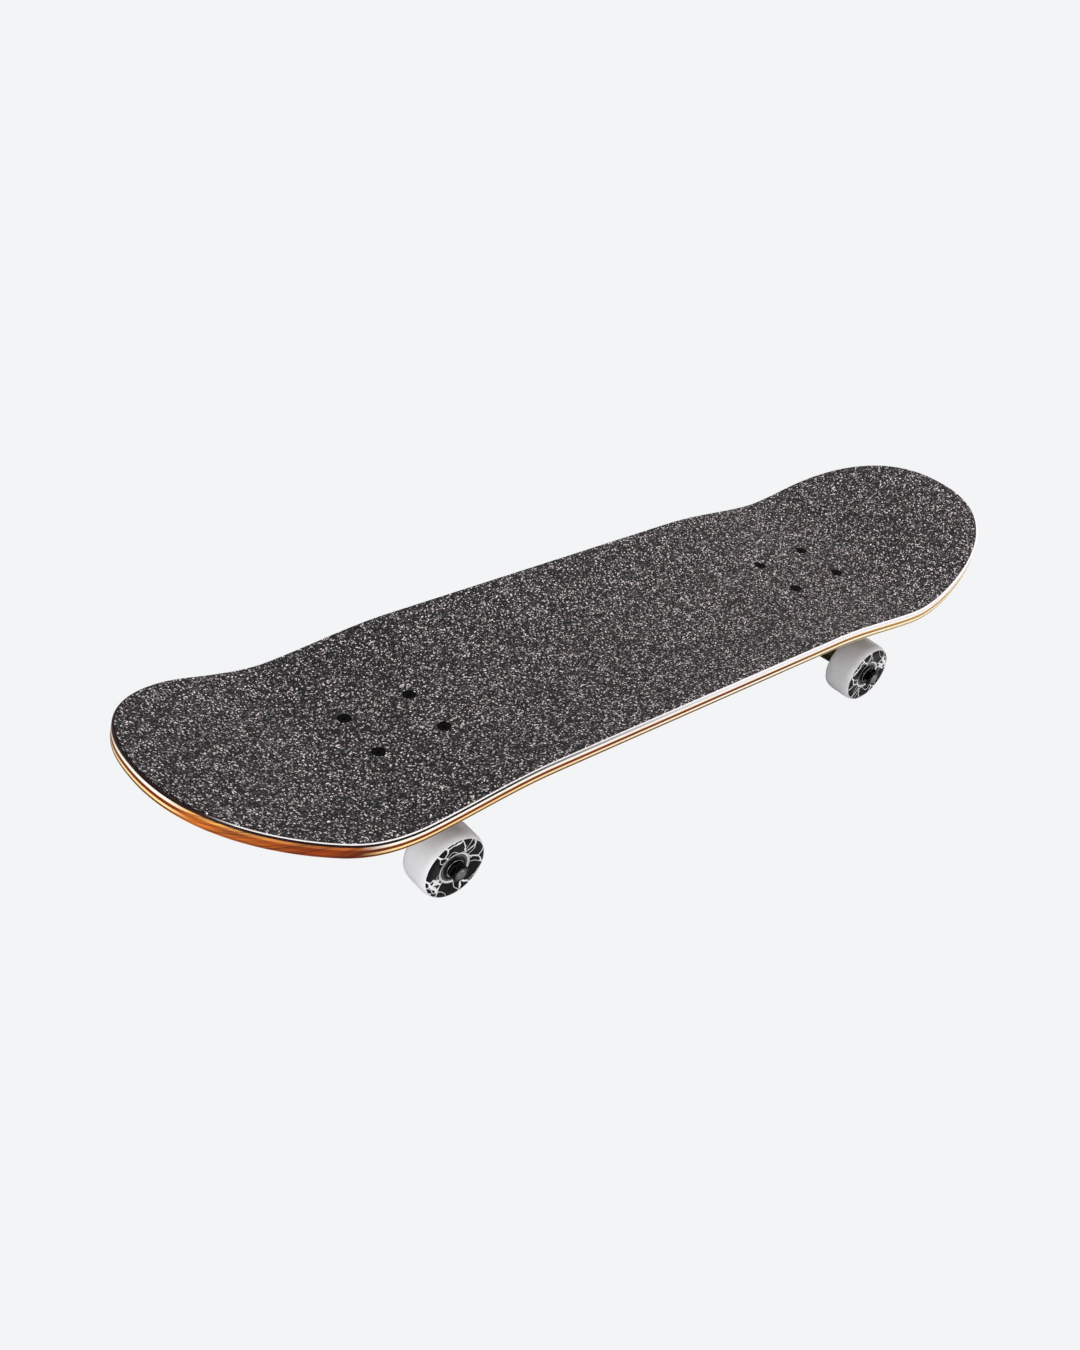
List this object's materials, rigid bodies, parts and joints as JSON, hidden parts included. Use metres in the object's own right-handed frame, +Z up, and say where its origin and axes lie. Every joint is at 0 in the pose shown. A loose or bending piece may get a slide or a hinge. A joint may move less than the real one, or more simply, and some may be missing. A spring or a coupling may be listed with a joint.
{
  "type": "skateboard",
  "caption": "Pressed seven-ply deck with a raised nose, tail and concave, on two sprung steering trucks with white urethane wheels on ball bearings.",
  "frame": {"origin": "on the ground, under the middle of the deck's length and width", "axes": "+X towards the nose, +Y to the rider's left, +Z up"},
  "size_m": [0.7986, 0.1996, 0.1325],
  "materials": {
    "maple": "satin lacquer",
    "grip": "rough black grit",
    "truck_metal": "cast, dark bronze",
    "plated_steel": "zinc plated",
    "black_hardware": "black oxide",
    "wheel_urethane": "satin white",
    "bushing_urethane": "black",
    "bearing": "black shield"
  },
  "bodies": {
    "deck": {"deck": "maple", "grip_tape": "grip", "nose_baseplate": "truck_metal", "nose_pivot_cup": "bushing_urethane", "nose_kingpin": "plated_steel", "nose_boardside_bushing": "bushing_urethane", "nose_roadside_bushing": "bushing_urethane", "nose_cup_washer": "plated_steel", "nose_kingpin_nut": "plated_steel", "nose_bolt_outer_left": "black_hardware", "nose_bolt_nut_outer_left": "black_hardware", "nose_bolt_outer_right": "black_hardware", "nose_bolt_nut_outer_right": "black_hardware", "nose_bolt_inner_left": "black_hardware", "nose_bolt_nut_inner_left": "black_hardware", "nose_bolt_inner_right": "black_hardware", "nose_bolt_nut_inner_right": "black_hardware", "tail_baseplate": "truck_metal", "tail_pivot_cup": "bushing_urethane", "tail_kingpin": "plated_steel", "tail_boardside_bushing": "bushing_urethane", "tail_roadside_bushing": "bushing_urethane", "tail_cup_washer": "plated_steel", "tail_kingpin_nut": "plated_steel", "tail_bolt_outer_left": "black_hardware", "tail_bolt_nut_outer_left": "black_hardware", "tail_bolt_outer_right": "black_hardware", "tail_bolt_nut_outer_right": "black_hardware", "tail_bolt_inner_left": "black_hardware", "tail_bolt_nut_inner_left": "black_hardware", "tail_bolt_inner_right": "black_hardware", "tail_bolt_nut_inner_right": "black_hardware"},
    "nose_hanger": {"nose_hanger": "truck_metal", "nose_axle": "plated_steel", "nose_left_inner_speed_washer": "plated_steel", "nose_left_outer_speed_washer": "plated_steel", "nose_left_axle_nut": "black_hardware", "nose_right_inner_speed_washer": "plated_steel", "nose_right_outer_speed_washer": "plated_steel", "nose_right_axle_nut": "black_hardware"},
    "nose_left_wheel": {"nose_left_wheel": "wheel_urethane", "nose_left_inner_bearing": "bearing", "nose_left_outer_bearing": "bearing"},
    "nose_right_wheel": {"nose_right_wheel": "wheel_urethane", "nose_right_inner_bearing": "bearing", "nose_right_outer_bearing": "bearing"},
    "tail_hanger": {"tail_hanger": "truck_metal", "tail_axle": "plated_steel", "tail_left_inner_speed_washer": "plated_steel", "tail_left_outer_speed_washer": "plated_steel", "tail_left_axle_nut": "black_hardware", "tail_right_inner_speed_washer": "plated_steel", "tail_right_outer_speed_washer": "plated_steel", "tail_right_axle_nut": "black_hardware"},
    "tail_left_wheel": {"tail_left_wheel": "wheel_urethane", "tail_left_inner_bearing": "bearing", "tail_left_outer_bearing": "bearing"},
    "tail_right_wheel": {"tail_right_wheel": "wheel_urethane", "tail_right_inner_bearing": "bearing", "tail_right_outer_bearing": "bearing"}
  },
  "joints": [
    {"name": "nose_steer", "type": "hinge", "parent": "deck", "child": "nose_hanger", "pos_m": [0.22954, 0, 0.0595], "axis": [0.9048, 0, 0.4258], "range_deg": [-14, 14], "stiffness_Nm_per_rad": 25, "deforming": ["nose_boardside_bushing", "nose_roadside_bushing"]},
    {"name": "tail_steer", "type": "hinge", "parent": "deck", "child": "tail_hanger", "pos_m": [-0.23674, 0, 0.0595], "axis": [-0.9048, 0, 0.4258], "range_deg": [-14, 14], "stiffness_Nm_per_rad": 25, "deforming": ["tail_boardside_bushing", "tail_roadside_bushing"]},
    {"name": "nose_left_wheel_spin", "type": "hinge", "parent": "nose_hanger", "child": "nose_left_wheel", "pos_m": [0.2164, 0.0775, 0.026], "axis": [0, 1, 0], "continuous": true},
    {"name": "nose_right_wheel_spin", "type": "hinge", "parent": "nose_hanger", "child": "nose_right_wheel", "pos_m": [0.2164, -0.0775, 0.026], "axis": [0, 1, 0], "continuous": true},
    {"name": "tail_left_wheel_spin", "type": "hinge", "parent": "tail_hanger", "child": "tail_left_wheel", "pos_m": [-0.2236, 0.0775, 0.026], "axis": [0, 1, 0], "continuous": true},
    {"name": "tail_right_wheel_spin", "type": "hinge", "parent": "tail_hanger", "child": "tail_right_wheel", "pos_m": [-0.2236, -0.0775, 0.026], "axis": [0, 1, 0], "continuous": true}
  ]
}
